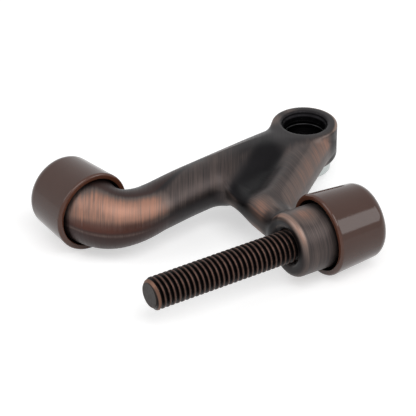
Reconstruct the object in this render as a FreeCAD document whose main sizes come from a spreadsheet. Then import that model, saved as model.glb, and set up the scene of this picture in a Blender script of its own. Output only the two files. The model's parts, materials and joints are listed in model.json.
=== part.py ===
import FreeCAD, Part
import os
import Sketcher

# Hinge pin door stop, in millimetres.
# The origin is on the hinge pin's axis, half way up the casting. +Z runs up the pin, and +X runs
# along the adjusting screw, towards its bumper. The arm, the leg and both bumpers are centred on
# the plane Z = 0.

SIZES = [
    # Eye that the hinge pin goes through, and its sleeve
    ("eye_diameter", 12.6, "outside of the eye"),
    ("eye_proud", 0.2, "eye's faces above and below the leg's"),
    ("eye_edge", 0.6, "rounding of the eye's rims"),
    ("pin_bore", 7.6, "bore of the sleeve, for a 5/16 in hinge pin"),
    ("sleeve_wall", 0.5, "wall of the sleeve"),
    ("sleeve_reach", 5.4, "how far the sleeve goes up into the eye"),
    ("flange_diameter", 10.4, "flange under the eye"),
    ("flange_thickness", 1.8, "flange under the eye"),
    ("flange_edge", 0.3, "chamfer of the flange"),
    ("press_room", 0.06, "radial room where a piece is pressed in"),
    ("bore_edge", 0.35, "chamfer at the mouth of the eye"),
    # Arm, with its knee and the plug for the fixed bumper
    ("arm_reach", 47.1, "pin axis to the corner of the arm's centre line"),
    ("arm_lean", 7.6, "degrees that the arm leans from -X"),
    ("arm_root_radius", 4.2, "arm at the pin axis"),
    ("arm_near_radius", 4.5, "arm a third of the way along"),
    ("arm_far_radius", 4.6, "arm two thirds of the way along"),
    ("knee_start_less", 1.94, "plug's radius, less the arm's where the knee starts"),
    ("knee_first_less", 1.4, "plug's radius, less the knee's a third of the way round"),
    ("knee_second_less", 0.7, "plug's radius, less the knee's two thirds of the way round"),
    ("knee_end_less", 0.32, "plug's radius, less the knee's at its end, inside the bumper"),
    ("knee_before", 9.3, "start of the knee, before the corner"),
    ("knee_after", 7.9, "end of the knee, past the corner"),
    ("bumper_heading", 96.0, "degrees from +X to the fixed bumper's axis"),
    ("mouth_after", 5.5, "mouth of the fixed bumper, past the corner"),
    # Leg, with its boss
    ("screw_offset", 29.2, "pin axis to screw axis"),
    ("boss_reach", 24.0, "pin axis to the boss's screw-side face, along X"),
    ("boss_length", 8.3, "along the screw"),
    ("boss_room", 0.6, "boss to the inside of the adjuster bumper"),
    ("boss_edge", 0.8, "rounding of the boss's ends"),
    ("leg_height", 7.6, "thickness of the leg, across Z"),
    ("side_step", 0.15, "boss's screw-side face to the leg's far side"),
    ("flank_angle", 41.0, "degrees below +X where the flank leaves the eye"),
    ("flank_inset", 0.5, "eye's outside to the start of the flank"),
    ("fork_depth", 10.2, "pin axis to the foot of the fork's corner, along Y"),
    ("fork_room", 0.2, "radius of the fork's corner, less the rounding of the leg's far edges"),
    ("flank_flat", 0.6, "half of the flat left between the leg's near edges"),
    ("side_flat", 1.4, "half of the flat left between the leg's far edges"),
    ("foot_flat", 0.5, "flat left on the foot between its near and far edges"),
    ("crook_radius", 2.0, "inside corner where the leg passes the rim"),
    ("valley_radius", 9.0, "hollow between the arm and the leg"),
    ("valley_depth", 1.7, "hollow between the arm and the leg"),
    ("valley_start_x", 6.5, "pin axis to the near end of the hollow, along X"),
    ("valley_start_y", 4.3, "pin axis to the near end of the hollow, along Y"),
    ("valley_lean", 17.0, "degrees that the hollow leans from -X"),
    # Adjusting screw, M6 x 1
    ("screw_diameter", 6.0, "over the thread"),
    ("thread_room", 0.05, "radial room of the thread in the boss"),
    ("thread_out", 28.6, "screw tip to the boss"),
    ("tip_chamfer", 0.7, "chamfer of the screw's tip"),
    ("hole_chamfer", 0.8, "chamfer of the boss's hole"),
    ("head_thickness", 2.4, "disc head inside the bumper"),
    ("head_edge", 0.3, "chamfer of the head"),
    ("turn_room", 0.08, "room round the head as it turns"),
    # Bumpers, two of the same
    ("cup_length", 11.2, "mouth to closed end"),
    ("cup_mouth", 15.4, "outside at the mouth"),
    ("cup_taper", 1.2, "outside at the mouth, less the outside at the closed end"),
    ("cup_wall", 1.1, "wall at the mouth"),
    ("cup_floor", 2.4, "thickness of the closed end"),
    ("cup_rim", 0.5, "rounding of the mouth"),
    ("cup_round", 2.2, "rounding of the closed end"),
    ("rim_room", 0.7, "leg to the adjuster bumper's mouth, with the screw fully in"),
    ("rim_side_room", 0.5, "leg's flank to the adjuster bumper's side"),
    ("overrun", 1.0, "how far a cutting profile runs past the casting"),
]

MADE = []


def fill_sheet(doc):
    """Write the driving dimensions, one row each: name, value, meaning."""
    sheet = doc.addObject("Spreadsheet::Sheet", "Sizes")
    for row, (alias, size, note) in enumerate(SIZES, start=1):
        sheet.set(f"A{row}", alias)
        sheet.set(f"B{row}", str(size))
        sheet.set(f"C{row}", note)
        sheet.setAlias(f"B{row}", alias)
    doc.recompute()
    return sheet


def tied(expression):
    """Give each driving dimension named in an expression its full name in the sheet."""
    names = {alias for alias, _, _ in SIZES}
    words = []
    word = ""
    for mark in expression + " ":
        if mark.isalnum() or mark in "_.":
            word += mark
            continue
        words.append(f"Sizes.{word}" if word in names else word)
        words.append(mark)
        word = ""
    return "".join(words).strip()


def value(doc, expression):
    """Present value of an expression of the driving dimensions."""
    return float(doc.getObject("Sizes").evalExpression(tied(expression)))


def new_body(doc, label):
    body = doc.addObject("PartDesign::Body", label)
    body.Label = label
    MADE.append(body)
    return body


def place(thing, x, y, z="0", turn="0", tip="0"):
    """Tie a placement: a point, a turn about Z in degrees, and a tip that lays +Z along the turn."""
    at = f"vector({tied(x)}; {tied(y)}; {tied(z)})"
    thing.setExpression("Placement", f"placement({at}; rotation({tied(turn)}; {tied(tip)}; 0))")


def on_plane(body, name, role):
    """A sketch on one of the body's own origin planes."""
    sketch = body.newObject("Sketcher::SketchObject", name)
    plane = next(item for item in body.Origin.OriginFeatures if item.Role == role)
    sketch.AttachmentSupport = [(plane, "")]
    sketch.MapMode = "FlatFace"
    return sketch


def arc_between(start, end, radius, bulge):
    """Arc of a radius from start to end, bulging to the left (+1) or right (-1) of the way."""
    middle = (start + end) * 0.5
    half = (end - start) * 0.5
    left = FreeCAD.Vector(-half.y, half.x, 0).normalize()
    rise = radius - (radius ** 2 - half.Length ** 2) ** 0.5
    return Part.Arc(start, middle + left * bulge * rise, end)


def outline(doc, sketch, corners, arcs=None):
    """Draw a closed outline through corners, each an x and y expression.

    arcs gives, for the number of a side, its radius expression and the way that it bulges.
    """
    arcs = arcs or {}
    points = [FreeCAD.Vector(value(doc, x), value(doc, y), 0) for x, y in corners]
    count = len(points)
    first = []
    last = []
    for side in range(count):
        start = points[side]
        end = points[(side + 1) % count]
        if side in arcs:
            radius = value(doc, arcs[side][0])
            geometry = arc_between(start, end, radius, arcs[side][1])
        else:
            geometry = Part.LineSegment(start, end)
        sketch.addGeometry(geometry)
        forward = (sketch.getPoint(side, 1) - start).Length < (sketch.getPoint(side, 2) - start).Length
        first.append(1 if forward else 2)
        last.append(2 if forward else 1)
    for side in range(count):
        after = (side + 1) % count
        sketch.addConstraint(Sketcher.Constraint("Coincident", side, last[side], after, first[after]))
    for side, (x, y) in enumerate(corners):
        for kind, size, wanted in (("DistanceX", points[side].x, x), ("DistanceY", points[side].y, y)):
            number = sketch.addConstraint(Sketcher.Constraint(kind, -1, 1, side, first[side], size))
            sketch.setExpression(f"Constraints[{number}]", tied(wanted))
    for side, (radius, _) in arcs.items():
        number = sketch.addConstraint(Sketcher.Constraint("Radius", side, value(doc, radius)))
        sketch.setExpression(f"Constraints[{number}]", tied(radius))


def disc(doc, sketch, radius):
    """Draw a circle at the sketch's own origin."""
    normal = FreeCAD.Vector(0, 0, 1)
    sketch.addGeometry(Part.Circle(FreeCAD.Vector(), normal, value(doc, radius)))
    sketch.addConstraint(Sketcher.Constraint("Coincident", 0, 3, -1, 1))
    number = sketch.addConstraint(Sketcher.Constraint("Radius", 0, value(doc, radius)))
    sketch.setExpression(f"Constraints[{number}]", tied(radius))


def turned(body, kind, sketch, axis):
    """Revolution or Groove of a profile about one of its sketch's own axes."""
    feature = body.newObject(f"PartDesign::{kind}", f"{sketch.Name}_turned")
    feature.Profile = sketch
    feature.ReferenceAxis = (sketch, [axis])
    feature.Angle = 360.0
    return feature


def rounded(doc, body, name, radius, points):
    """Fillet the edges of the body's present shape that pass through the given points."""
    doc.recompute()
    base = body.Tip
    marks = [Part.Vertex(point) for point in points]
    names = []
    for number, edge in enumerate(base.Shape.Edges, start=1):
        if any(edge.distToShape(mark)[0] < 0.001 for mark in marks):
            names.append(f"Edge{number}")
    fillet = body.newObject("PartDesign::Fillet", name)
    fillet.Base = (base, names)
    fillet.setExpression("Radius", tied(radius))
    return fillet


# Casting

EYE_TOP = "(leg_height / 2 + eye_proud)"
CUP_BORE = "(cup_mouth - 2 * cup_wall)"
CORNER_X = "-arm_reach * cos(arm_lean * 1deg)"
CORNER_Y = "-arm_reach * sin(arm_lean * 1deg)"
KNEE_START_X = "-(arm_reach - knee_before) * cos(arm_lean * 1deg)"
KNEE_START_Y = "-(arm_reach - knee_before) * sin(arm_lean * 1deg)"
KNEE_END_X = f"{CORNER_X} + knee_after * cos(bumper_heading * 1deg)"
KNEE_END_Y = f"{CORNER_Y} + knee_after * sin(bumper_heading * 1deg)"
PLUG_RADIUS = f"({CUP_BORE} / 2 - press_room)"
KNEE_LESS = ["knee_start_less", "knee_first_less", "knee_second_less", "knee_end_less"]
KNEE_RADII = [f"({PLUG_RADIUS} - {less})" for less in KNEE_LESS]
BOSS_NEAR = "(boss_reach - boss_length)"
BOSS_RADIUS = f"({CUP_BORE} / 2 - boss_room)"
FLANK_EDGE = "(leg_height / 2 - flank_flat)"
SIDE_EDGE = "(leg_height / 2 - side_flat)"
LEG_FOOT = f"({FLANK_EDGE} + {SIDE_EDGE} + foot_flat)"
LEG_NEAR = f"(boss_reach - {LEG_FOOT})"
FLANK_ROOT = "(eye_diameter / 2 - flank_inset)"
FLANK_FOOT = "(screw_offset - cup_mouth / 2 - rim_side_room)"
LEG_SIDE = "(boss_reach - side_step)"
FORK_RADIUS = f"({SIDE_EDGE} + fork_room)"
FORK_X = f"({LEG_SIDE} + {FORK_RADIUS})"
FORK_Y = f"(fork_depth - {FORK_RADIUS})"


def leg_plate(doc, body):
    """Plate in plan: the flank from the eye, the foot at the boss, and the corner of the fork."""
    corners = [
        ("0", "0"),
        (f"{FLANK_ROOT} * cos(flank_angle * 1deg)", f"-{FLANK_ROOT} * sin(flank_angle * 1deg)"),
        (f"-{LEG_NEAR}", f"-{FLANK_FOOT}"),
        (f"-{LEG_NEAR}", "-screw_offset"),
        (f"-{LEG_SIDE}", "-screw_offset"),
        (f"-{LEG_SIDE}", "-fork_depth"),
        (f"-{FORK_X}", f"-{FORK_Y}"),
        (f"-{FORK_X}", f"-{FORK_X} * tan(arm_lean * 1deg)"),
    ]
    fork_side = 5
    sketch = on_plane(body, "leg_outline", "XY_Plane")
    outline(doc, sketch, corners, {fork_side: (FORK_RADIUS, 1)})
    plate = body.newObject("PartDesign::Pad", "leg_plate")
    plate.Profile = sketch
    plate.SideType = "Symmetric"
    plate.setExpression("Length", tied("leg_height"))

    point = [FreeCAD.Vector(value(doc, x), value(doc, y), 0) for x, y in corners]
    rounded(doc, body, "leg_crook", "crook_radius", [point[2]])
    up = FreeCAD.Vector(0, 0, value(doc, "leg_height / 2"))
    flank = [(point[1] + point[2]) * 0.5, (point[2] + point[3]) * 0.5]
    rounded(doc, body, "leg_flank", FLANK_EDGE, [p + up for p in flank] + [p - up for p in flank])
    side = [(point[4] + point[5]) * 0.5]
    rounded(doc, body, "leg_side_edges", SIDE_EDGE, [p + up for p in side] + [p - up for p in side])


def valley(doc, body):
    """Hollow between the arm and the leg, on both faces."""
    sketch = body.newObject("Sketcher::SketchObject", "valley_outline")
    disc(doc, sketch, "valley_radius")
    place(sketch, "-valley_start_x", "-valley_start_y", "leg_height / 2 + valley_radius - valley_depth",
          "180 + valley_lean", "90")
    trough = body.newObject("PartDesign::Pocket", "valley")
    trough.Profile = sketch
    trough.Reversed = True
    trough.setExpression("Length", tied("arm_reach"))
    doc.recompute()
    mirror = body.newObject("PartDesign::Mirrored", "valley_below")
    mirror.Originals = [trough]
    mirror.MirrorPlane = (next(item for item in body.Origin.OriginFeatures if item.Role == "XY_Plane"), [""])
    body.Tip = mirror


def arm_section(doc, body, number, x, y, turn, radius):
    sketch = body.newObject("Sketcher::SketchObject", f"arm_section_{number}")
    disc(doc, sketch, radius)
    place(sketch, x, y, turn=turn, tip="90")
    return sketch


def arm(doc, body):
    """Round arm along its lean, then round the knee, a quadratic curve about the arm's corner."""
    straight = [("0", "arm_root_radius"), ("1/3", "arm_near_radius"), ("2/3", "arm_far_radius")]
    sections = []
    for share, radius in straight:
        x = f"({KNEE_START_X}) * {share}"
        y = f"({KNEE_START_Y}) * {share}"
        sections.append(arm_section(doc, body, len(sections), x, y, "180 + arm_lean", radius))
    for third, radius in enumerate(KNEE_RADII):
        start = (3 - third) ** 2 / 9
        corner = 2 * third * (3 - third) / 9
        end = third ** 2 / 9
        x = f"{start} * ({KNEE_START_X}) + {corner} * ({CORNER_X}) + {end} * ({KNEE_END_X})"
        y = f"{start} * ({KNEE_START_Y}) + {corner} * ({CORNER_Y}) + {end} * ({KNEE_END_Y})"
        onward = f"{3 - third} * knee_before"
        across = f"{third} * knee_after"
        way_x = f"(-{onward} * cos(arm_lean * 1deg) + {across} * cos(bumper_heading * 1deg))"
        way_y = f"(-{onward} * sin(arm_lean * 1deg) + {across} * sin(bumper_heading * 1deg))"
        turn = f"90 - atan({way_x} / {way_y}) / 1deg"
        if third == 0:
            turn = "180 + arm_lean"
        sections.append(arm_section(doc, body, len(sections), x, y, turn, radius))
    loft = body.newObject("PartDesign::AdditiveLoft", "arm")
    loft.Profile = sections[0]
    loft.Sections = sections[1:]

    sketch = body.newObject("Sketcher::SketchObject", "plug_outline")
    disc(doc, sketch, PLUG_RADIUS)
    place(sketch, KNEE_END_X, KNEE_END_Y, turn="bumper_heading", tip="90")
    plug = body.newObject("PartDesign::Pad", "plug")
    plug.Profile = sketch
    plug.setExpression("Length", tied("cup_length - cup_floor - (knee_after - mouth_after)"))


def eye(doc, body):
    """Eye with rounded rims."""
    rim = "eye_diameter / 2"
    top = EYE_TOP
    corners = [
        ("0", f"-{top}"),
        (f"{rim} - eye_edge", f"-{top}"),
        (rim, f"-{top} + eye_edge"),
        (rim, f"{top} - eye_edge"),
        (f"{rim} - eye_edge", top),
        ("0", top),
    ]
    sketch = on_plane(body, "eye_profile", "XZ_Plane")
    outline(doc, sketch, corners, {1: ("eye_edge", -1), 3: ("eye_edge", -1)})
    turned(body, "Revolution", sketch, "V_Axis")


def boss(doc, body):
    """Round boss on the screw's axis, with rounded ends."""
    far = BOSS_RADIUS
    corners = [
        ("-boss_reach", "0"),
        (f"-{BOSS_NEAR}", "0"),
        (f"-{BOSS_NEAR}", f"{far} - boss_edge"),
        (f"-{BOSS_NEAR} - boss_edge", far),
        ("-boss_reach + boss_edge", far),
        ("-boss_reach", f"{far} - boss_edge"),
    ]
    sketch = body.newObject("Sketcher::SketchObject", "boss_profile")
    outline(doc, sketch, corners, {2: ("boss_edge", -1), 4: ("boss_edge", -1)})
    place(sketch, "0", "-screw_offset")
    turned(body, "Revolution", sketch, "H_Axis")


def eye_hole(doc, body):
    """Through hole for the sleeve, chamfered at its top, and the flat faces round its two ends."""
    radius = "(pin_bore / 2 + sleeve_wall + press_room)"
    seat = "(flange_diameter / 2 + press_room)"
    top = EYE_TOP
    corners = [
        ("0", f"-{top} - overrun"),
        (seat, f"-{top} - overrun"),
        (seat, f"-{top}"),
        (radius, f"-{top}"),
        (radius, f"{top} - bore_edge"),
        (f"{radius} + bore_edge", top),
        (seat, top),
        (seat, f"{top} + overrun"),
        ("0", f"{top} + overrun"),
    ]
    sketch = on_plane(body, "eye_hole_profile", "XZ_Plane")
    outline(doc, sketch, corners)
    turned(body, "Groove", sketch, "V_Axis")


def screw_hole(doc, body):
    """Hole of the thread through the boss, chamfered where the screw comes out."""
    radius = "(screw_diameter / 2 + thread_room)"
    corners = [
        ("-boss_reach - overrun", "0"),
        (f"-{BOSS_NEAR} + overrun", "0"),
        (f"-{BOSS_NEAR} + overrun", radius),
        ("-boss_reach + hole_chamfer", radius),
        ("-boss_reach - overrun", f"{radius} + hole_chamfer + overrun"),
    ]
    sketch = body.newObject("Sketcher::SketchObject", "screw_hole_profile")
    outline(doc, sketch, corners)
    place(sketch, "0", "-screw_offset")
    turned(body, "Groove", sketch, "H_Axis")


def body_casting(doc):
    body = new_body(doc, "body_casting")
    leg_plate(doc, body)
    valley(doc, body)
    arm(doc, body)
    eye(doc, body)
    boss(doc, body)
    eye_hole(doc, body)
    screw_hole(doc, body)


# Pieces on the casting

def pin_bushing(doc):
    """Flanged sleeve pressed into the eye from below."""
    body = new_body(doc, "pin_bushing")
    seat = EYE_TOP
    wall = "(pin_bore / 2 + sleeve_wall)"
    corners = [
        ("pin_bore / 2", f"-{seat} - flange_thickness"),
        ("flange_diameter / 2 - flange_edge", f"-{seat} - flange_thickness"),
        ("flange_diameter / 2", f"-{seat} - flange_thickness + flange_edge"),
        ("flange_diameter / 2", f"-{seat}"),
        (wall, f"-{seat}"),
        (wall, f"-{seat} + sleeve_reach"),
        ("pin_bore / 2", f"-{seat} + sleeve_reach"),
    ]
    sketch = on_plane(body, "bushing_profile", "XZ_Plane")
    outline(doc, sketch, corners)
    turned(body, "Revolution", sketch, "V_Axis")


def bumper(doc, label, x, y, turn):
    """Rubber cup, tapered, with its mouth at the given point and its closed end along the turn."""
    body = new_body(doc, label)
    mouth = "cup_mouth / 2"
    end = "(cup_mouth - cup_taper) / 2"
    corners = [
        ("0", f"{CUP_BORE} / 2"),
        ("cup_length - cup_floor", f"{CUP_BORE} / 2"),
        ("cup_length - cup_floor", "0"),
        ("cup_length", "0"),
        ("cup_length", f"{end} - cup_round"),
        ("cup_length - cup_round", end),
        ("cup_rim", mouth),
        ("0", f"{mouth} - cup_rim"),
    ]
    sketch = on_plane(body, f"{label}_profile", "XY_Plane")
    outline(doc, sketch, corners, {4: ("cup_round", -1), 6: ("cup_rim", -1)})
    turned(body, "Revolution", sketch, "H_Axis")
    place(body, x, y, turn=turn)


def adjuster_screw(doc):
    """Threaded rod from its tip to the disc head that seats in the bumper."""
    body = new_body(doc, "adjuster_screw")
    rod = "screw_diameter / 2"
    head = f"({CUP_BORE} / 2 - turn_room)"
    tip = "boss_reach + thread_out"
    head_end = f"(-{LEG_NEAR} + rim_room + cup_length - cup_floor - turn_room)"
    length = f"({head_end} + {tip})"
    corners = [
        ("0", "0"),
        (length, "0"),
        (length, f"{head} - head_edge"),
        (f"{length} - head_edge", head),
        (f"{length} - head_thickness", head),
        (f"{length} - head_thickness", rod),
        ("tip_chamfer", rod),
        ("0", f"{rod} - tip_chamfer"),
    ]
    sketch = on_plane(body, "screw_profile", "XY_Plane")
    outline(doc, sketch, corners)
    turned(body, "Revolution", sketch, "H_Axis")
    place(body, f"-({tip})", "-screw_offset")


def check(doc):
    """Stop if any object failed, or if a sub-part's shape is empty or not valid."""
    for thing in doc.Objects:
        if "Invalid" in thing.State or "Error" in thing.State:
            raise RuntimeError(f"{thing.Name} failed: {thing.State}")
    for body in MADE:
        if body.Shape.isNull() or not body.Shape.isValid() or len(body.Shape.Solids) != 1:
            raise RuntimeError(f"{body.Label} has no single valid solid")


def main():
    doc = FreeCAD.newDocument("hinge_pin_door_stop")
    fill_sheet(doc)
    body_casting(doc)
    pin_bushing(doc)
    bumper(doc, "fixed_bumper", f"{CORNER_X} + mouth_after * cos(bumper_heading * 1deg)",
           f"{CORNER_Y} + mouth_after * sin(bumper_heading * 1deg)", "bumper_heading")
    bumper(doc, "adjuster_bumper", f"-{LEG_NEAR} + rim_room", "-screw_offset", "0")
    adjuster_screw(doc)
    doc.recompute()
    check(doc)
    os.makedirs("parts", exist_ok=True)
    for body in MADE:
        body.Shape.exportStep(f"parts/{body.Label}.step")
        print(body.Label, round(body.Shape.Volume, 2), "mm3")


main()
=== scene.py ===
import json
import math

import bpy
import numpy as np
from mathutils import Matrix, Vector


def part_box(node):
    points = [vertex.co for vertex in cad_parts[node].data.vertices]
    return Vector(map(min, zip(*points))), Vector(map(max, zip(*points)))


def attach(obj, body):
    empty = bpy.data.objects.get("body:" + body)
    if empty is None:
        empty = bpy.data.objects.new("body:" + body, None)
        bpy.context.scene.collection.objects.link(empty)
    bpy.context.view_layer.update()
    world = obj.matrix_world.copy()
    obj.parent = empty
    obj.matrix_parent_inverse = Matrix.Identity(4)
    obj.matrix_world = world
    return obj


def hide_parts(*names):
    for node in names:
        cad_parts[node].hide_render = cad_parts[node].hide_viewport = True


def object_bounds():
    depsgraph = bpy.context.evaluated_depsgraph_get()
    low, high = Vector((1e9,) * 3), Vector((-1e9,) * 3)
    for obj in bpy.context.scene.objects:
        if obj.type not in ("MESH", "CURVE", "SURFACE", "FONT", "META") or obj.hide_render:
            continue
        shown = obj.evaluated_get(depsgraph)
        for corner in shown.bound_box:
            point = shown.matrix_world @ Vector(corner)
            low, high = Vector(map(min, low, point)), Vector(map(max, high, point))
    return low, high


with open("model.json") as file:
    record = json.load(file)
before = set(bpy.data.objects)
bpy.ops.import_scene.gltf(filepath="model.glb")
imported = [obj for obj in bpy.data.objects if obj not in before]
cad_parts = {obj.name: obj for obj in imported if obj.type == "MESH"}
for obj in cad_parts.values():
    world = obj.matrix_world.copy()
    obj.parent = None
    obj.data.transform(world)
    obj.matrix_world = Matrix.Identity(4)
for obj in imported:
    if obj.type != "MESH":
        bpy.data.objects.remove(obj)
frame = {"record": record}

# Looks of the hinge pin door stop. Shapes are worked out in millimetres in the frame of the packed
# model: the hinge pin's axis is Z, and the screw runs along X. A band of four numbers gives where
# something starts, is full, begins to fade and ends, and a pair gives where it starts and is full.
CAD_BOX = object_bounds()
MM = 0.001
TINY = 1e-6
MOUNTS = {mount["name"]: mount for mount in frame["record"]["mounts"]}

# Eye and sleeve
EYE_RADIUS = 6.3
EYE_TOP = MOUNTS["eye_top"]["pos_m"][2] / MM
EYE_EDGE = 0.6
EYE_UNDER_EDGE = 1.9
HOLE_RADIUS = 4.36
HOLE_CHAMFER = 0.35
LIP_WIDTH = 0.34
LIP_BAND = (1.5, 1.8, 2.95, 3.25)
PIN_RADIUS = MOUNTS["hinge_pin_bore"]["dims"]["r_mm"]
SLEEVE_RADIUS = 4.3
SLEEVE_TOP = 1.4
SLEEVE_EDGE = 0.12
FLANGE_CHAMFER = 0.3

# Arm. Its half widths and heights are at places along its centre line.
ARM_REACH = 47.1
ARM_LEAN = math.radians(7.6)
KNEE_BEFORE = 9.3
KNEE_AFTER = 7.9
KNEE_OUT = 0.8
KNEE_DOWN = 0.3
KNEE_BAND = (29, 38, 44, 51)
KNEE_STEPS = 24
PLUG_RADIUS = 6.54
PLUG_DEPTH = 6.4
ARM_PLACES = [0, 12, 26, 37.8, 43, 48, 53, 62]
ARM_HALF_WIDTHS = [5.2, 5.0, 4.7, 4.8, 5.3, 5.9, PLUG_RADIUS, PLUG_RADIUS]
ARM_HALF_HEIGHTS = [3.9, 4.4, 4.6, 4.45, 5.1, 6.2, PLUG_RADIUS, PLUG_RADIUS]

# Leg and boss. The flank is the leg's side that faces the adjuster bumper.
SCREW_Y = MOUNTS["adjuster_bumper_face"]["pos_m"][1] / MM
BOSS_FACE = -24.0
BOSS_BACK = -15.7
BOSS_RADIUS = 6.0
BOSS_EDGE = 1.2
LEG_HALF_HEIGHT = 3.8
LEG_NEAR = -17.9
LEG_FAR = -23.85
NEAR_EDGE = 3.6
NEAR_STRETCH = 1.25
FAR_EDGE = 3.6
FLANK_START = (3.81, -4.95)
FLANK_FOOT = (-17.58, -21.41)
VALLEY_LINE = [(-9.0, -3.4), (-14.9, -7.6), (-20.4, -11.4), (-27.0, -14.4)]
VALLEY_DEPTHS = [0.5, 2.0, 2.1, 1.2]
VALLEY_RADIUS = 4.8

# How widely the forms of the casting run into each other
FLANK_BLEND = 1.5
VALLEY_BLEND = 1.6
BOSS_BLEND = 1.4
ARM_BLEND = 2.6
EYE_BLEND_FREE = 0.1
EYE_BLEND_LEG = 1.6
CEILING_BLEND = 0.5
HOLE_BLEND = 0.25
RIM_ROOM_BLEND = 0.2

# Screw, M6 x 1
PITCH = 1.0
THREAD_RADIUS = 3.0
THREAD_DEPTH = 0.58
THREAD_ROOM = 0.05
SCREW_HOLE_CHAMFER = 0.8
TIP_CHAMFER = 0.7
HEAD_THICKNESS = 2.4
HEAD_EDGE = 0.3

# Bumpers, two of the same
CUP_LENGTH = 11.2
CUP_MOUTH = 7.7
CUP_END = 7.1
CUP_BORE = 6.6
CUP_FLOOR = 2.4
CUP_RIM = 0.5
CUP_ROUND = 2.2
INNER_RIM = 0.25
INNER_CORNER = 0.4
CUP_ROOM = 0.15

# Meshes
GRID_LOW = (-55.8, -36.6, -7.2)
GRID_HIGH = (7.2, 9.3, 7.2)
GRID_STEP = 0.3
TURNED_SEGMENTS = 96
SCREW_SEGMENTS = 64
ROWS_A_TURN = 14

# Parts of the casting, for its finish. Past both ARM_ONLY lines there is only the arm, and past
# BOSS_ONLY only the boss.
ARM_ONLY_X = -20
ARM_ONLY_Y = -16
BOSS_ONLY_Y = -24
FLANK_FACING = (0.61, -0.79)
VALLEY_TO_LEG = (0.57, -0.82)
BRUSH_ON_ARM = (0.8435, -0.537)

# Patches of wear and painted highlight, alike on both faces: place, height above the middle,
# reach and strength
WEAR_AND_HIGHLIGHT_PATCHES = {
    "foot of the leg": (-23.6, -19.4, 2.6, 3.2, 0.95),
    "foot, towards the boss": (-23.2, -21.8, 2.4, 1.8, 0.35),
    "top of the boss": (-20.6, -29.6, 5.9, 2.6, 0.8),
    "eye's rim, towards the arm": (-4.4, 4.4, 4.0, 2.2, 0.45),
    "eye's far rim": (0.0, 5.9, 4.0, 1.8, 0.3),
    "fork's inner corner": (-24.6, -11.0, 1.0, 2.2, 0.4),
}

# Colours, as linear red, green and blue
CHARCOAL = (0.030, 0.027, 0.028)
DULL_COPPER = (0.118, 0.090, 0.081)
BRIGHT_COPPER = (0.300, 0.160, 0.115)
RED_BROWN = (0.092, 0.034, 0.024)
# Colour of worn edges with a painted highlight
EDGE_WEAR_AND_HIGHLIGHT = (0.41, 0.29, 0.235)
# Near black of painted shade in hollows and creases
DEEP_PAINTED_SHADE = (0.006, 0.0055, 0.0065)
RUBBER_DARK = (0.053, 0.019, 0.011)
RUBBER_LIGHT = (0.063, 0.025, 0.016)
RUBBER_RIM = (0.110, 0.036, 0.018)
RUBBER_INSIDE = (0.02, 0.01, 0.008)
ZINC_DARK = (0.40, 0.435, 0.43)
ZINC_LIGHT = (0.58, 0.615, 0.605)
ZINC_BORE = (0.012, 0.011, 0.012)
THREAD_ROOT = (0.005, 0.0035, 0.0035)
THREAD_CREST = (0.096, 0.053, 0.041)
TIP_DARK = (0.018, 0.014, 0.013)
TIP_LIGHT = (0.034, 0.027, 0.024)
TIP_EDGE = (0.150, 0.080, 0.056)
FLOOR_GREY = (0.70, 0.70, 0.70)
WHITE = (1.0, 1.0, 1.0)

# Light. Strengths of the world and of the floor's own glow are 1 at white.
WORLD_LIGHT = 0.35
WORLD_SEEN = 1.0
FLOOR_GLOW = 0.55
FLOOR_HALF = 3.0
LAMP_TARGET = (-0.024, -0.012, 0.0)
# Azimuth and elevation in degrees, then distance, width and height in metres, and radiance
LAMPS = {
    "key": (-10, 58, 0.55, 0.42, 0.3, 3.2),
    "right": (50, 28, 0.6, 0.3, 0.3, 2.4),
    "left": (-110, 40, 0.6, 0.3, 0.35, 2.2),
}

# Camera of the photograph, which is 416 pixels square. The focal length is in pixels, and the eye's
# top is seen at EYE_PIXEL.
PHOTO_SIZE = 416
PHOTO_FOCAL = 2321
EYE_PIXEL = (304.56, 121.88)
CAMERA_DISTANCE = 0.4445
CAMERA_AZIMUTH = math.radians(-32.49)
CAMERA_ELEVATION = math.radians(32.24)
SENSOR_WIDTH = 36


# Distance fields, which take coordinates as arrays and are negative inside

def smooth_union(a, b, reach):
    """Fields a and b joined, with the corner between them filled."""
    share = np.clip(0.5 + 0.5 * (b - a) / reach, 0, 1)
    return b + (a - b) * share - reach * share * (1 - share)


def smooth_cut(a, b, reach):
    """Field a without field b, with the edge rounded."""
    return -smooth_union(-a, b, reach)


def smooth_both(a, b, reach):
    """Where fields a and b are both negative, with the edge rounded."""
    return -smooth_union(-a, -b, reach)


def rounded_corner(a, b, radius):
    """Where both fields are negative, with the edge between them rounded to a radius."""
    outside = np.hypot(np.maximum(a + radius, 0), np.maximum(b + radius, 0))
    return outside + np.minimum(np.maximum(a, b) + radius, 0) - radius


def step_up(low, high, x):
    """0 at low and 1 at high, smooth between them. It falls with x where high is the lower."""
    share = np.clip((x - low) / (high - low), 0, 1)
    return share * share * (3 - 2 * share)


def bump_between(low, rise, fall, high, x):
    """0 outside low to high, and 1 from rise to fall."""
    return step_up(low, rise, x) * (1 - step_up(fall, high, x))


def along_line(points, x, y):
    """Distance in plan to a line of runs, and how far along it the nearest point is."""
    best = np.full(np.broadcast(x, y).shape, np.inf)
    place = np.zeros_like(best)
    start = 0.0
    for (x0, y0), (x1, y1) in zip(points[:-1], points[1:]):
        run = math.hypot(x1 - x0, y1 - y0)
        share = np.clip(((x - x0) * (x1 - x0) + (y - y0) * (y1 - y0)) / run ** 2, 0, 1)
        away = np.hypot(x - x0 - share * (x1 - x0), y - y0 - share * (y1 - y0))
        nearer = away < best
        best = np.where(nearer, away, best)
        place = np.where(nearer, start + share * run, place)
        start += run
    return best, place


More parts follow.
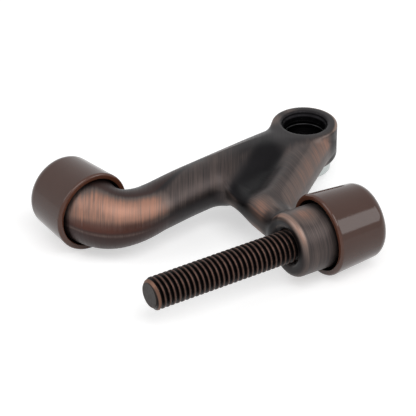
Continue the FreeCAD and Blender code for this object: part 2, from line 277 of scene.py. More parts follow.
def arm_points(way):
    """Centre line of the arm in plan: straight, round the knee, and into the plug."""
    corner = np.array([-ARM_REACH * math.cos(ARM_LEAN), -ARM_REACH * math.sin(ARM_LEAN)])
    start = corner * (1 - KNEE_BEFORE / ARM_REACH)
    bend = corner - (0, KNEE_OUT)
    end = corner + way * KNEE_AFTER
    points = [np.zeros(2)]
    for t in np.linspace(0, 1, KNEE_STEPS + 1):
        points.append((1 - t) ** 2 * start + 2 * t * (1 - t) * bend + t * t * end)
    points.append(end + way * PLUG_DEPTH)
    return points


FIXED_FACE = MOUNTS["fixed_bumper_face"]
BUMPER_WAY = np.array(FIXED_FACE["axis"][:2])
FIXED_MOUTH = np.array(FIXED_FACE["pos_m"][:2]) / MM - BUMPER_WAY * CUP_LENGTH
ARM_POINTS = arm_points(BUMPER_WAY)


def arm_half(sizes, place):
    """Half of the arm's width or height at a place along it, with the corners smoothed."""
    half_window = 12
    stations = np.arange(-6, 75, 0.25)
    plain = np.interp(stations, ARM_PLACES, sizes)
    window = np.hanning(2 * half_window + 1)
    padded = np.pad(plain, half_window, mode="edge")
    smooth = np.convolve(padded, window / window.sum(), "valid")
    return np.interp(place, stations, smooth)


def arm_field(x, y, z):
    """Arm along its centre line, which lies a little lower at the knee."""
    away, place = along_line(ARM_POINTS, x, y)
    z = z + KNEE_DOWN * bump_between(*KNEE_BAND, place)
    width = arm_half(ARM_HALF_WIDTHS, place)
    height = arm_half(ARM_HALF_HEIGHTS, place)
    reach = np.hypot(away / width, z / height)
    slope = np.hypot(away / width ** 2, z / height ** 2)
    tube = reach * (reach - 1) / np.maximum(slope, TINY)
    end = ARM_POINTS[-1]
    return np.maximum(tube, (x - end[0]) * BUMPER_WAY[0] + (y - end[1]) * BUMPER_WAY[1])


def valley_field(x, y, z):
    """Round hollow in both faces, along a line between the arm and the leg."""
    away, place = along_line(VALLEY_LINE, x, y)
    runs = [math.dist(a, b) for a, b in zip(VALLEY_LINE[:-1], VALLEY_LINE[1:])]
    depth = np.interp(place, np.cumsum([0] + runs), VALLEY_DEPTHS)
    centre = LEG_HALF_HEIGHT + VALLEY_RADIUS - depth
    return np.hypot(away, np.abs(z) - centre) - VALLEY_RADIUS


def rim_room_field(x, y, z):
    """Ring cleared in the leg for the adjuster bumper's rim, with the screw fully in."""
    skin = 0.05
    boss_axis = np.hypot(y - SCREW_Y, z)
    ring = np.maximum(boss_axis - CUP_MOUTH - CUP_ROOM, BOSS_RADIUS + CUP_ROOM - boss_axis)
    return np.maximum(ring, LEG_NEAR + skin - x)


def leg_field(x, y, z):
    """Plate from the eye to the boss, rounded at its sides and hollowed beside the arm."""
    run = np.subtract(FLANK_FOOT, FLANK_START)
    run /= np.linalg.norm(run)
    flank = (y - FLANK_START[1]) * run[0] - (x - FLANK_START[0]) * run[1]
    near = smooth_union(flank, x - LEG_NEAR, FLANK_BLEND)
    face = np.abs(z) - LEG_HALF_HEIGHT
    near_side = rounded_corner(near / NEAR_STRETCH, face, NEAR_EDGE)
    far_side = rounded_corner(LEG_FAR - x, face, FAR_EDGE)
    arm_side = y - x * math.tan(ARM_LEAN)
    eye_side = (y * FLANK_START[0] - x * FLANK_START[1]) / math.hypot(*FLANK_START)
    ends = np.maximum(np.maximum(arm_side, eye_side), SCREW_Y - y)
    plate = np.maximum(np.maximum(near_side, far_side), ends)
    plate = smooth_cut(plate, valley_field(x, y, z), VALLEY_BLEND)
    return smooth_cut(plate, rim_room_field(x, y, z), RIM_ROOM_BLEND)


def eye_field(axis, z):
    side = axis - EYE_RADIUS
    upper = rounded_corner(side, z - EYE_TOP, EYE_EDGE)
    lower = rounded_corner(side, -EYE_TOP - z, EYE_UNDER_EDGE)
    return np.maximum(upper, lower)


def eye_hole_field(axis, z):
    """Hole of the eye, flared at its top, with a small lip inside."""
    wall = axis - HOLE_RADIUS
    flare = (wall + EYE_TOP - HOLE_CHAMFER - z) * math.sqrt(0.5)
    return np.minimum(wall + LIP_WIDTH * bump_between(*LIP_BAND, z), flare)


def screw_hole_field(x, boss_axis):
    """Hole of the boss, with a chamfer at the screw-side face."""
    mouth_depth = 1
    thread = boss_axis - THREAD_RADIUS - THREAD_ROOM
    mouth = (thread - SCREW_HOLE_CHAMFER - (BOSS_FACE - x)) * math.sqrt(0.5)
    return np.minimum(thread, np.maximum(mouth, BOSS_FACE - mouth_depth - x))


def ceiling(x, y):
    """How high the casting may reach: the eye's top near the eye, and more further out."""
    along_arm = 1.4 * step_up(5, 20, -x)
    at_boss = 3.0 * step_up(24, 30, -y)
    at_knee = 3.0 * step_up(30, 40, -x)
    return EYE_TOP + along_arm + at_boss + at_knee


def casting_field(x, y, z):
    """The whole casting: leg, boss, arm and eye, less the two holes."""
    axis = np.hypot(x, y)
    boss_axis = np.hypot(y - SCREW_Y, z)
    boss_ends = np.maximum(BOSS_FACE - x, x - BOSS_BACK)
    boss = rounded_corner(boss_axis - BOSS_RADIUS, boss_ends, BOSS_EDGE)
    eye_blend = EYE_BLEND_FREE + (EYE_BLEND_LEG - EYE_BLEND_FREE) * step_up(2, -3, x)
    body = smooth_union(leg_field(x, y, z), boss, BOSS_BLEND)
    body = smooth_union(body, arm_field(x, y, z), ARM_BLEND)
    body = smooth_union(body, eye_field(axis, z), eye_blend)
    body = np.maximum(body, x - EYE_RADIUS)
    body = smooth_both(body, np.abs(z) - ceiling(x, y), CEILING_BLEND)
    body = smooth_cut(body, eye_hole_field(axis, z), HOLE_BLEND)
    return smooth_cut(body, screw_hole_field(x, boss_axis), HOLE_BLEND)


def slope_and_bend(x, y, z, reach):
    """The casting's field, its gradient, and its bend, which is positive on outside edges."""
    here = casting_field(x, y, z)
    slope = []
    bend = -6 * here
    for dx, dy, dz in np.eye(3) * reach:
        ahead = casting_field(x + dx, y + dy, z + dz)
        behind = casting_field(x - dx, y - dy, z - dz)
        slope.append((ahead - behind) / (2 * reach))
        bend = bend + ahead + behind
    return here, np.stack(slope, -1), bend / reach ** 2


# Mesh of the casting

def surface_net(low, high, step):
    """Vertices and faces of the casting's surface, on a grid of cells. Each cell that the surface
    crosses gets a vertex, and each crossed edge of the grid gets a face between its four cells."""
    axes = [np.arange(a, b + step / 2, step) for a, b in zip(low, high)]
    field = casting_field(axes[0][:, None, None], axes[1][None, :, None], axes[2][None, None, :])
    inside = field < 0
    cells = np.array(field.shape) - 1
    total = np.zeros((*cells, 3))
    count = np.zeros(cells)
    crossings = []
    for axis in range(3):
        near = [slice(None)] * 3
        far = [slice(None)] * 3
        near[axis] = slice(None, -1)
        far[axis] = slice(1, None)
        a, b = field[tuple(near)], field[tuple(far)]
        edges = np.argwhere(inside[tuple(near)] != inside[tuple(far)])
        at = tuple(edges.T)
        points = edges.astype(float)
        points[:, axis] += a[at] / (a[at] - b[at])
        crossings.append((edges, inside[tuple(near)][at]))
        others = [other for other in range(3) if other != axis]
        for first in (0, 1):
            for second in (0, 1):
                cell = edges.copy()
                cell[:, others[0]] -= first
                cell[:, others[1]] -= second
                kept = np.all((cell >= 0) & (cell < cells), axis=1)
                where = tuple(cell[kept].T)
                np.add.at(total, where, points[kept])
                np.add.at(count, where, 1)
    used = count > 0
    number = np.full(cells, -1)
    number[used] = np.arange(used.sum())
    vertices = np.array(low) + step * total[used] / count[used][:, None]
    faces = []
    for axis, (edges, rising) in enumerate(crossings):
        one, two = (axis + 1) % 3, (axis + 2) % 3
        corners = []
        for first, second in ((1, 1), (0, 1), (0, 0), (1, 0)):
            cell = edges.copy()
            cell[:, one] -= first
            cell[:, two] -= second
            corners.append(number[tuple(cell.T)])
        quads = np.stack(corners, -1)
        quads[~rising] = quads[~rising][:, ::-1]
        faces.append(quads)
    return vertices, np.concatenate(faces)


def settle(vertices):
    """Move the vertices onto the casting's true surface."""
    rounds = 3
    probe = 0.05
    longest = 0.15
    flattest = 0.25
    for _ in range(rounds):
        distance, slope, _ = slope_and_bend(*vertices.T, probe)
        steepness = np.maximum((slope ** 2).sum(1), flattest)
        vertices = vertices - np.clip(distance / steepness, -longest, longest)[:, None] * slope
    return vertices


def make_piece(name, vertices, faces, material, tones):
    """Mesh object from points in millimetres. tones gives named numbers for each point."""
    mesh = bpy.data.meshes.new(name)
    mesh.from_pydata((np.asarray(vertices) * MM).tolist(), [], [list(face) for face in faces])
    mesh.validate()
    mesh.shade_smooth()
    for label, numbers in tones.items():
        attribute = mesh.attributes.new(label, "FLOAT", "POINT")
        attribute.data.foreach_set("value", np.asarray(numbers, np.float32))
    mesh.materials.append(material)
    piece = bpy.data.objects.new(name, mesh)
    bpy.context.scene.collection.objects.link(piece)
    return piece


# Finish of the casting, with painted highlight and painted shade, from 0 to 1 at each point.
# facing is the direction that the surface looks in, and up is how far round the arm that is, in
# degrees: 0 towards the screw, and 90 upwards.

def strongest(*tones):
    return np.maximum.reduce(tones)


def knee_tones(along, up, past_leg):
    """Copper over the knee, worn bare with a painted highlight, red-brown below it, a thin line of
    painted reflection, and shade above.
    """
    copper_round = (0, 29, 58, 86)
    red_round = (-4, 4, 12, 28)
    line_round = (-10, -5, -4, 1)
    on_knee = step_up(33.5, 41, along) * past_leg
    on_lower_knee = step_up(38, 44, along) * past_leg
    on_line = step_up(39, 44, along) * past_leg
    before_cup = 1 - 0.7 * step_up(48, 51.5, along)
    # The copper band is set by which way the face looks: wear with a painted highlight.
    copper = bump_between(*copper_round, up) * on_knee * before_cup
    # A thin line of painted reflection low on the knee's side.
    line = 0.3 * bump_between(*line_round, up) * on_line
    red = 0.9 * bump_between(*red_round, up) * on_lower_knee * before_cup
    under_red = 0.3 * on_knee * (1 - step_up(2, 8, up))
    shade = 0.5 * on_knee * step_up(70, 92, up)
    return on_knee, strongest(copper, line), strongest(red, under_red), shade


def arm_tones(y, along, up, on_knee):
    """Faint wear with a painted highlight on the arm's side, and above it shade with a red-brown
    band.
    """
    side_end = 96 - 34 * step_up(26, 38, along)
    past_side = up - side_end
    on_arm = bump_between(12, 22, 60, 70, along) * (y > -11)
    # Faint wear with a painted highlight, set by which way the arm's side faces.
    worn = 0.2 * on_arm * step_up(0, 22, up) * (1 - step_up(0, 16, past_side))
    red = 0.55 * on_arm * bump_between(14, 20, 38, 46, past_side)
    shade = 0.6 * on_arm * step_up(0, 20, past_side) * (1 - on_knee)
    return worn, red, shade


def flank_tones(x, y, z, facing_x, facing_y, facing_z):
    """Wear with a painted highlight on the leg's flank, more near its top edge and the eye, and on
    the leg's top.
    """
    outwards = FLANK_FACING[0] * facing_x + FLANK_FACING[1] * facing_y
    on_flank = step_up(0.05, 0.45, outwards) * step_up(-20, -17, x) * step_up(-1.5, -5.5, y)
    on_flank = on_flank * (1 - 0.85 * step_up(0.8, 2.8, x)) * step_up(-24, -20, y)
    # Wear with a painted highlight, brighter near the top of the flank's rounding and on faces that
    # look up.
    crest = bump_between(0.2, 0.45, 0.7, 1.05, z / LEG_HALF_HEIGHT)
    near_eye = 0.35 + 0.65 * step_up(-20, -6, y)
    flank = on_flank * (0.30 + 0.42 * crest * near_eye)
    top = 0.2 * step_up(0.75, 0.95, facing_z) * step_up(-4, -7, y) * (x > -25)
    return strongest(flank, top)


def boss_tones(x, y, z, facing_x):
    """Faint wear round the boss, and wear with a painted highlight on the edge of its screw-side
    face, brighter towards its top.
    """
    boss_axis = np.hypot(y - SCREW_Y, z)
    on_side = step_up(0.5, 0.9, 1 - np.abs(facing_x)) * (boss_axis < BOSS_RADIUS + 0.2)
    side = 0.2 * on_side * (x > BOSS_FACE)
    # A painted highlight with wear on the rounded edge of the screw-side face.
    on_edge = np.exp(-((x - BOSS_FACE - 0.55) / 0.6) ** 2) * step_up(4.6, 5.3, boss_axis)
    edge = (0.25 + 0.6 * step_up(0, 5, z)) * on_edge
    return strongest(side, edge) * (y < BOSS_ONLY_Y)


def patch_tones(x, y, z):
    # Copper patches of wear and painted highlight.
    worn = np.zeros_like(x)
    for patch_x, patch_y, height, reach, strength in WEAR_AND_HIGHLIGHT_PATCHES.values():
        away = (x - patch_x) ** 2 + (y - patch_y) ** 2 + (np.abs(z) - height) ** 2
        worn = np.maximum(worn, strength * np.exp(-away / reach ** 2))
    return worn


def valley_tones(x, y, facing_z):
    """Painted shade: black in the hollow between the arm and the leg, and lighter shade beside it.
    """
    level = np.abs(facing_z)
    away, _ = along_line(VALLEY_LINE, x, y)
    bend_x, bend_y = VALLEY_LINE[1]
    to_leg = VALLEY_TO_LEG[0] * (x - bend_x) + VALLEY_TO_LEG[1] * (y - bend_y)
    leg_side = step_up(-1, 1, to_leg)
    black = (1 - step_up(1.8, 4.2 - 1.1 * leg_side, away)) * step_up(0.3, 0.65, level)
    black = black * step_up(-7.0, -10.5, x)
    beside = (0.4 - 0.25 * leg_side) * (1 - step_up(4.0, 8.0, away)) * step_up(-8, -12, x)
    beside = beside * step_up(0.4, 0.8, level) * (y > ARM_ONLY_Y)
    return black, beside


def side_shades(x, y, z, facing_x, facing_z):
    """Shade on the eye's front wall, the leg's far side, the boss's face and the corner there."""
    on_eye_wall = step_up(5.4, 6.1, np.hypot(x, y)) * (1 - step_up(0.3, 0.6, np.abs(facing_z)))
    eye_wall = 0.5 * on_eye_wall * step_up(0.3, 2.5, x)
    on_far_side = step_up(0.4, 0.8, -facing_x) * (x < ARM_ONLY_X) * step_up(-12, -15, y) * (y > -26)
    copper_foot = step_up(0.5, 2.0, np.abs(z)) * bump_between(-22, -20, -17, -14.5, y)
    far_side = on_far_side * (0.8 - 0.65 * copper_foot)
    boss_face = 0.4 * step_up(0.8, 0.95, -facing_x) * (y < BOSS_ONLY_Y)
    corner_x, corner_y, corner_height, corner_reach = -22.4, -24.3, 3.9, 1.7
    away = (x - corner_x) ** 2 + (y - corner_y) ** 2 + (np.abs(z) - corner_height) ** 2
    corner = 0.6 * np.exp(-away / corner_reach ** 2)
    return strongest(eye_wall, far_side, boss_face, corner)


def casting_tones(x, y, z, along, facing):
    """Where the look differs: copper worn bare with a painted highlight, red-brown patina, and
    painted shade in hollows, the hole and on shaded sides.
    """
    facing_x, facing_y, facing_z = facing.T
    up = np.degrees(np.arctan2(facing_z, -facing_y - 0.35 * facing_x))
    past_leg = (x < ARM_ONLY_X) * (y > ARM_ONLY_Y)
    on_knee, knee_wear_and_highlight, knee_red, knee_shade = knee_tones(along, up, past_leg)
    arm_wear_and_highlight, arm_red, arm_shade = arm_tones(y, along, up, on_knee)
    flank_wear_and_highlight = flank_tones(x, y, z, facing_x, facing_y, facing_z)
    boss_wear_and_highlight = boss_tones(x, y, z, facing_x)
    valley, beside_valley = valley_tones(x, y, facing_z)
    # Painted shade inside the eye's hole, a little less on its ledges.
    in_hole = step_up(0.5, 0.2, np.hypot(x, y) - HOLE_RADIUS)
    hole = in_hole * (1 - 0.35 * step_up(0.4, 0.8, facing_z))

    # Copper of wear and painted highlight, kept out of the painted shade in the hollow and the hole.
    worn = strongest(knee_wear_and_highlight, arm_wear_and_highlight, flank_wear_and_highlight, boss_wear_and_highlight, patch_tones(x, y, z))
    worn = worn * (1 - 0.95 * valley) * (1 - in_hole)
    red = strongest(knee_red, arm_red)
    sides = side_shades(x, y, z, facing_x, facing_z)
    # Painted shade: the hollow, the hole, shade on top of the arm and knee, and on shaded sides.
    hollow = strongest(valley, hole, arm_shade + knee_shade, beside_valley, sides)
    return worn, red, hollow


def edge_strength(x, y, z):
    """How brightly edges are worn and lit by a painted highlight: less on the eye's arm side and
    under the boss, none in the hole, and more on the eye's front rim and on top of the boss's
    screw-side face."""
    axis = np.hypot(x, y)
    on_eye = step_up(7.4, 6.6, axis)
    strength = (1 - 0.7 * on_eye * (1 - step_up(2, 5, x))) * step_up(0.45, 0.8, axis - HOLE_RADIUS)
    boss_end = (y < BOSS_ONLY_Y) * (x < BOSS_FACE + 1.4) * (np.hypot(y - SCREW_Y, z) > 4)
    front_rim = on_eye * (z > 3) * step_up(0, 3, x)
    strength = strength * (1 + 0.8 * np.maximum(front_rim, boss_end * step_up(1, 5, z)))
    return strength * (1 - 0.6 * boss_end * step_up(1, -3, z))


def make_casting(material):
    vertices, faces = surface_net(GRID_LOW, GRID_HIGH, GRID_STEP)
    vertices = settle(vertices)
    edge_probe = 0.35
    _, facing, bend = slope_and_bend(*vertices.T, edge_probe)
    facing /= np.linalg.norm(facing, axis=1, keepdims=True)
    x, y, z = vertices.T
    away, along = along_line(ARM_POINTS, x, y)
    off_arm = step_up(0.8, 1.5, away / arm_half(ARM_HALF_WIDTHS, along)) * (x > -34)
    on_boss = step_up(-21.5, -24.5, y)
    worn, red, hollow = casting_tones(x, y, z, along, facing)
    tones = {
        "arm_line": BRUSH_ON_ARM[0] * x + BRUSH_ON_ARM[1] * y,
        "off_arm": np.maximum(off_arm, on_boss),
        "edge": np.clip(bend * 0.5, -2, 4) * edge_strength(x, y, z),
        # A copper share of wear and painted highlight, a red-brown share, and a share of painted
        # shade.
        "worn": worn,
        "red": red,
        "hollow": hollow,
    }
    return make_piece("casting", vertices, faces, material, tones)


# Turned pieces

def bend_corner(centre, radius, start, end, steps):
    """Points of an arc in a turned profile. Angles are in degrees from the axis."""
    angles = np.radians(np.linspace(start, end, steps + 1))
    return [(centre[0] + radius * math.cos(a), centre[1] + radius * math.sin(a)) for a in angles]


def held(profile, room=0.12, long=0.6):
    """Profile with points added near both ends of each long run, so that it is shaded flat."""
    points = []
    for (x0, r0), (x1, r1) in zip(profile[:-1], profile[1:]):
        points.append((x0, r0))
        run = math.hypot(x1 - x0, r1 - r0)
        if run > long:
            for share in (room / run, 0.5, 1 - room / run):
                points.append((x0 + share * (x1 - x0), r0 + share * (r1 - r0)))
    return points + [profile[-1]]


def turned_mesh(profile, origin, axis, side, segments, closed=False):
    """Points and faces of a profile turned about an axis. A point with no radius is a pole."""
    up = np.cross(axis, side)
    vertices = []
    rings = []
    for place, radius in profile:
        rings.append(len(vertices))
        count = segments if radius > TINY else 1
        for k in range(count):
            angle = 2 * math.pi * k / segments
            spoke = np.array(side) * math.cos(angle) + up * math.sin(angle)
            vertices.append(np.array(origin) + np.array(axis) * place + spoke * radius)
    faces = []
    pairs = list(zip(range(len(profile) - 1), range(1, len(profile))))
    if closed:
        pairs.append((len(profile) - 1, 0))
    for a, b in pairs:
        for k in range(segments):
            after = (k + 1) % segments
            if profile[a][1] <= TINY:
                faces.append((rings[a], rings[b] + after, rings[b] + k))
            elif profile[b][1] <= TINY:
                faces.append((rings[a] + k, rings[a] + after, rings[b]))
            else:
                faces.append((rings[a] + k, rings[a] + after, rings[b] + after, rings[b] + k))
    return vertices, faces


def ring_numbers(profile, numbers, segments):
    """One number for each point of a turned mesh, from one number for each point of its profile."""
    spread = []
    for (_, radius), number in zip(profile, numbers):
        spread += [number] * (segments if radius > TINY else 1)
    return spread


def make_cup(name, mouth, axis, material):
    """Bumper: a tapered cup with a rounded rim and end, from its mouth along its axis."""
    floor = CUP_LENGTH - CUP_FLOOR
    slant = math.degrees(math.atan2(CUP_MOUTH - CUP_END, CUP_LENGTH - CUP_ROUND - CUP_RIM))
    profile = [(floor, 0.0), (floor, CUP_BORE - INNER_CORNER)]
    profile += [(floor - INNER_CORNER, CUP_BORE), (INNER_RIM, CUP_BORE)]
    profile += bend_corner((INNER_RIM, CUP_BORE + INNER_RIM), INNER_RIM, 270, 180, 5)
    profile += bend_corner((CUP_RIM, CUP_MOUTH - CUP_RIM), CUP_RIM, 180, 90 - slant, 8)
    end_centre = (CUP_LENGTH - CUP_ROUND, CUP_END - CUP_ROUND)
    profile += bend_corner(end_centre, CUP_ROUND, 90 - slant, 0, 12)
    profile += [(CUP_LENGTH, 0.0)]
    profile = held(profile)
    vertices, faces = turned_mesh(profile, mouth, axis, (0, 0, 1), TURNED_SEGMENTS)
    rim = [1 - min(max((place - 0.1) / CUP_RIM, 0), 1) for place, _ in profile]
    inside = [float(radius < CUP_BORE + 0.05 and place < floor + 0.1) for place, radius in profile]
    tones = {
        "rim": ring_numbers(profile, rim, TURNED_SEGMENTS),
        "inside": ring_numbers(profile, inside, TURNED_SEGMENTS),
    }
    return make_piece(name, vertices, faces, material, tones)


def make_sleeve(material):
    """Flanged sleeve in the eye. Its bore is dark, and so is what shows of it inside the eye."""
    low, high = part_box("pin_bushing")
    bottom = low.z / MM
    flange = high.x / MM
    bore_chamfer = 0.2
    flange_edge = 0.08
    profile = [
        (bottom, PIN_RADIUS + bore_chamfer),
        (bottom, flange - FLANGE_CHAMFER),
        (bottom + flange_edge, flange - SLEEVE_EDGE),
        (bottom + FLANGE_CHAMFER, flange),
        (-EYE_TOP - flange_edge, flange),
        (-EYE_TOP, flange - flange_edge),
        (-EYE_TOP, SLEEVE_RADIUS),
        (SLEEVE_TOP - SLEEVE_EDGE, SLEEVE_RADIUS),
        (SLEEVE_TOP, SLEEVE_RADIUS - SLEEVE_EDGE),
        (SLEEVE_TOP, PIN_RADIUS + SLEEVE_EDGE),
        (SLEEVE_TOP - SLEEVE_EDGE, PIN_RADIUS),
        (bottom + bore_chamfer, PIN_RADIUS),
    ]
    profile = held(profile + [profile[0]])[:-1]
    axis, side = (0, 0, 1), (1, 0, 0)
    vertices, faces = turned_mesh(profile, (0, 0, 0), axis, side, TURNED_SEGMENTS, closed=True)
    dark = []
    for place, radius in profile:
        in_bore = float(radius < PIN_RADIUS + 0.02)
        in_eye = 0.96 * (place > -EYE_TOP + 0.5)
        dark.append(max(in_bore, in_eye))
    tones = {"dark": ring_numbers(profile, dark, TURNED_SEGMENTS)}
    return make_piece("sleeve", vertices, faces, material, tones)


def thread_rows(tip, shoulder, angles):
    """Rings of the thread from tip to shoulder: place, radii, and where the crests and the tip's
    chamfer are. The thread is right-handed."""
    crest_width = 0.84
    flank_width = 0.6
    places = np.arange(tip, shoulder, PITCH / ROWS_A_TURN)
    turn = (places[:, None] / PITCH - angles[None, :] / (2 * np.pi)) % 1
    off_crest = np.abs(turn - 0.5) * 2
    crest = np.clip((crest_width - off_crest) / flank_width, 0, 1)
    crest = 0.5 * crest + 0.5 * step_up(0, 1, crest)
    radii = THREAD_RADIUS - THREAD_DEPTH * (1 - crest)
    chamfer = THREAD_RADIUS - TIP_CHAMFER + (places[:, None] - tip)
    on_chamfer = step_up(-0.05, 0.1, radii - chamfer)
    return zip(places, np.minimum(radii, chamfer), crest, on_chamfer)


def make_screw(material):
    """Threaded rod with a chamfered tip, and the disc head inside the bumper."""
    low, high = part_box("adjuster_screw")
    tip, end = low.x / MM, high.x / MM
    head = high.z / MM
    shoulder = end - HEAD_THICKNESS
    angles = 2 * np.pi * np.arange(SCREW_SEGMENTS) / SCREW_SEGMENTS
    rows = [(tip, share * (THREAD_RADIUS - TIP_CHAMFER), 0.0, 1.0) for share in (0.3, 0.7, 0.95)]
    rows += thread_rows(tip, shoulder, angles)
    head_profile = [
        (shoulder, 2.6),
        (shoulder, head - HEAD_EDGE),
        (shoulder + 0.05, head - 0.05),
        (shoulder + HEAD_EDGE, head),
        (end - HEAD_EDGE, head),
        (end, head - HEAD_EDGE),
        (end, 0.5),
    ]
    rows += [(place, radius, 0.0, 0.0) for place, radius in head_profile]

    vertices = [(tip, SCREW_Y, 0.0)]
    crests = [0.0]
    faced = [1.0]
    for place, radius, crest, on_face in rows:
        across = SCREW_Y + radius * np.cos(angles)
        height = radius * np.sin(angles)
        vertices += zip(np.full(SCREW_SEGMENTS, place), across, height)
        crests += list(np.broadcast_to(crest, SCREW_SEGMENTS))
        faced += list(np.broadcast_to(on_face, SCREW_SEGMENTS))
    last = len(vertices)
    vertices.append((end, SCREW_Y, 0.0))
    crests.append(0.0)
    faced.append(0.0)

    faces = []
    for k in range(SCREW_SEGMENTS):
        after = (k + 1) % SCREW_SEGMENTS
        faces.append((0, 1 + after, 1 + k))
        for here in range(1, last - SCREW_SEGMENTS, SCREW_SEGMENTS):
            beyond = here + SCREW_SEGMENTS
            faces.append((here + k, here + after, beyond + after, beyond + k))
        last_ring = last - SCREW_SEGMENTS
        faces.append((last_ring + k, last_ring + after, last))
    return make_piece("threaded_rod", vertices, faces, material, {"crest": crests, "faced": faced})


# Materials

class Shader:
    """Small helper that adds nodes to a material and links them."""

    def __init__(self, name):
        self.material = bpy.data.materials.new(name)
        self.material.use_nodes = True
        self.nodes = self.material.node_tree.nodes
        self.links = self.material.node_tree.links
        self.surface = self.nodes["Principled BSDF"]

    def feed(self, socket, given):
        """Link an output to a socket, or set the socket to a number or a colour."""
        if hasattr(given, "is_output"):
            self.links.new(given, socket)
        elif isinstance(given, tuple):
            socket.default_value = (*given, 1.0)
        else:
            socket.default_value = given

    def node(self, kind, *inputs, **settings):
        """Add a node with its settings, and feed its first inputs. None leaves one as it is."""
        made = self.nodes.new(kind)
        for key, setting in settings.items():
            setattr(made, key, setting)
        for socket, given in zip(made.inputs, inputs):
            if given is not None:
                self.feed(socket, given)
        return made

    def math(self, operation, a, b=0.0, clamp=False):
        made = self.node("ShaderNodeMath", a, b, operation=operation, use_clamp=clamp)
        return made.outputs[0]

    def add(self, a, b, clamp=False):
        return self.math("ADD", a, b, clamp)

    def times(self, a, b, clamp=False):
        return self.math("MULTIPLY", a, b, clamp)

    def off_middle(self, noise, strength):
        """Noise as a number either side of 0."""
        return self.times(self.math("SUBTRACT", noise, 0.5), strength)

    def number(self, label):
        return self.node("ShaderNodeAttribute", attribute_name=label).outputs["Fac"]

    def place(self):
        """The piece's own coordinates, in millimetres, as three numbers."""
        coordinates = self.node("ShaderNodeTexCoord").outputs["Object"]
        scaled = self.node("ShaderNodeVectorMath", coordinates, operation="SCALE")
        scaled.inputs["Scale"].default_value = 1 / MM
        return self.node("ShaderNodeSeparateXYZ", scaled.outputs[0]).outputs

    def vector(self, x, y, z):
        return self.node("ShaderNodeCombineXYZ", x, y, z).outputs[0]

    def noise(self, vector, scale=1.0, detail=3.0, roughness=0.55):
        made = self.node("ShaderNodeTexNoise")
        self.feed(made.inputs["Vector"], vector)
        made.inputs["Scale"].default_value = scale
        made.inputs["Detail"].default_value = detail
        made.inputs["Roughness"].default_value = roughness
        return made.outputs["Fac"]

    def span(self, value, low, high, to_low=0.0, to_high=1.0):
        """Map a range to another, smoothly and without passing its ends."""
        made = self.node("ShaderNodeMapRange", value, low, high, to_low, to_high,
                         interpolation_type="SMOOTHSTEP")
        return made.outputs[0]

    def mix(self, share, a, b):
        """Colour a, turning to colour b as the share goes from 0 to 1."""
        made = self.node("ShaderNodeMix", share, data_type="RGBA")
        self.feed(made.inputs[6], a)
        self.feed(made.inputs[7], b)
        return made.outputs[2]

    def bump(self, height, depth):
        made = self.node("ShaderNodeBump")
        made.inputs["Strength"].default_value = 1.0
        made.inputs["Distance"].default_value = depth * MM
        self.feed(made.inputs["Height"], height)
        self.feed(self.surface.inputs["Normal"], made.outputs[0])

    def set(self, **inputs):
        for key, given in inputs.items():
            self.feed(self.surface.inputs[key.replace("_", " ")], given)


def brushed(s, across, lengthways, roughness):
    """Brush lines: noise drawn out along straight strokes, one way on the arm and another on the
    rest. across and lengthways are how many times finer it is than a millimetre."""
    x, y, z = s.place()
    y, z = s.times(y, lengthways), s.times(z, lengthways)
    lines = []
    for place in (s.number("arm_line"), x):
        lines.append(s.noise(s.vector(s.times(place, across), y, z), 1.0, 2.0, roughness))
    mix = s.node("ShaderNodeMix", s.number("off_arm"), None, lines[0], lines[1], data_type="FLOAT")
    return mix.outputs[0]


def bronze():
    """Oil-rubbed bronze: charcoal patina, copper where it is worn and as a painted highlight,
    painted shade in hollows and creases, brushed round the arm and leg.
    """
    s = Shader("oil_rubbed_bronze")
    fine = brushed(s, 6.0, 0.13, 0.6)
    broad = brushed(s, 1.3, 0.1, 0.5)
    cloud = s.noise(s.vector(*s.place()), 0.22, 2.0, 0.5)
    streak = s.add(s.off_middle(fine, 1.7), s.off_middle(broad, 0.5))
    # The copper share is wear together with a painted highlight.
    worn = s.times(s.number("worn"), s.span(cloud, 0.3, 0.7, 0.72, 0.86))
    copper = s.times(worn, s.add(1.0, streak), clamp=True)
    copper = s.add(copper, s.times(s.math("MAXIMUM", streak, 0.0), 0.09), clamp=True)
    colour = s.mix(s.span(copper, 0.0, 0.38), CHARCOAL, DULL_COPPER)
    colour = s.mix(s.span(copper, 0.3, 1.0), colour, BRIGHT_COPPER)
    red = s.times(s.number("red"), s.span(streak, -0.7, 0.7, 1.0, 0.6))
    colour = s.mix(red, colour, RED_BROWN)
    # Bright edges: wear with a painted highlight.
    edge = s.times(s.span(s.number("edge"), 0.3, 1.6), s.span(streak, -0.6, 0.6, 0.35, 0.8))
    colour = s.mix(edge, colour, EDGE_WEAR_AND_HIGHLIGHT)
    # Painted shade in creases, where the surface bends inwards.
    painted_crease_shade = s.times(s.span(s.number("edge"), -0.6, -0.1, 1.0, 0.0), 0.6)
    dark = s.math("MAXIMUM", painted_crease_shade, s.times(s.number("hollow"), 0.96))
    # Painted shade turns the colour towards near black.
    colour = s.mix(dark, colour, DEEP_PAINTED_SHADE)
    rough = s.add(s.span(fine, 0.25, 0.75, 0.37, 0.46), s.times(s.number("worn"), 0.08))
    s.set(Base_Color=colour, Metallic=0.9, Roughness=rough)
    s.bump(fine, 0.012)
    return s.material


def rubber():
    """Glossy brown moulded rubber."""
    s = Shader("brown_rubber")
    spot = s.vector(*s.place())
    cloud = s.noise(spot, 0.35, 3.0)
    grain = s.noise(spot, 9.0, 2.0)
    colour = s.mix(cloud, RUBBER_DARK, RUBBER_LIGHT)
    colour = s.mix(s.times(s.number("rim"), 0.75), colour, RUBBER_RIM)
    colour = s.mix(s.number("inside"), colour, RUBBER_INSIDE)
    s.set(Base_Color=colour, Roughness=s.span(grain, 0.3, 0.7, 0.07, 0.11), Specular_IOR_Level=0.42)
    s.bump(grain, 0.003)
    return s.material


